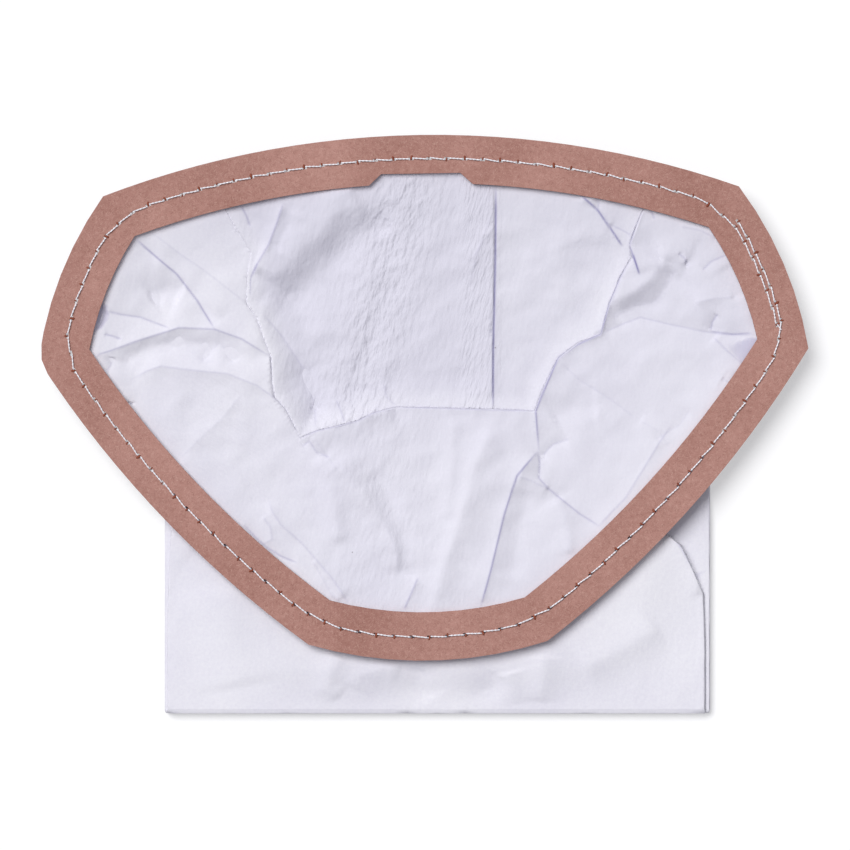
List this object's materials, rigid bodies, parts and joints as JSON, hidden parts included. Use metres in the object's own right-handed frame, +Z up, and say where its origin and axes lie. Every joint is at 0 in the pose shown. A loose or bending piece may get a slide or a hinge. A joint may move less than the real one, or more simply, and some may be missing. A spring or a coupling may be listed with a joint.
{
  "type": "vacuum dust bag",
  "caption": "Folded paper vacuum dust bag lying mouth up, its spread end sewn under a flat six-cornered cardboard collar with a locating notch.",
  "frame": {"origin": "middle of the underside of the overall box, with the bag lying flat, mouth up", "axes": "+X to the right along the collar's long way, +Y towards the collar's notched long edge, +Z up out of the mouth"},
  "size_m": [0.3388, 0.2558, 0.0144],
  "materials": {
    "kraft_board": "matt unbleached board with fine fibre flecks",
    "filter_paper": "matt off-white creped filter paper",
    "white_thread": "twisted white sewing thread"
  },
  "bodies": {
    "root": {"cardboard_collar": "kraft_board", "paper_bag": "filter_paper", "sewing_thread": "white_thread"}
  },
  "joints": []
}
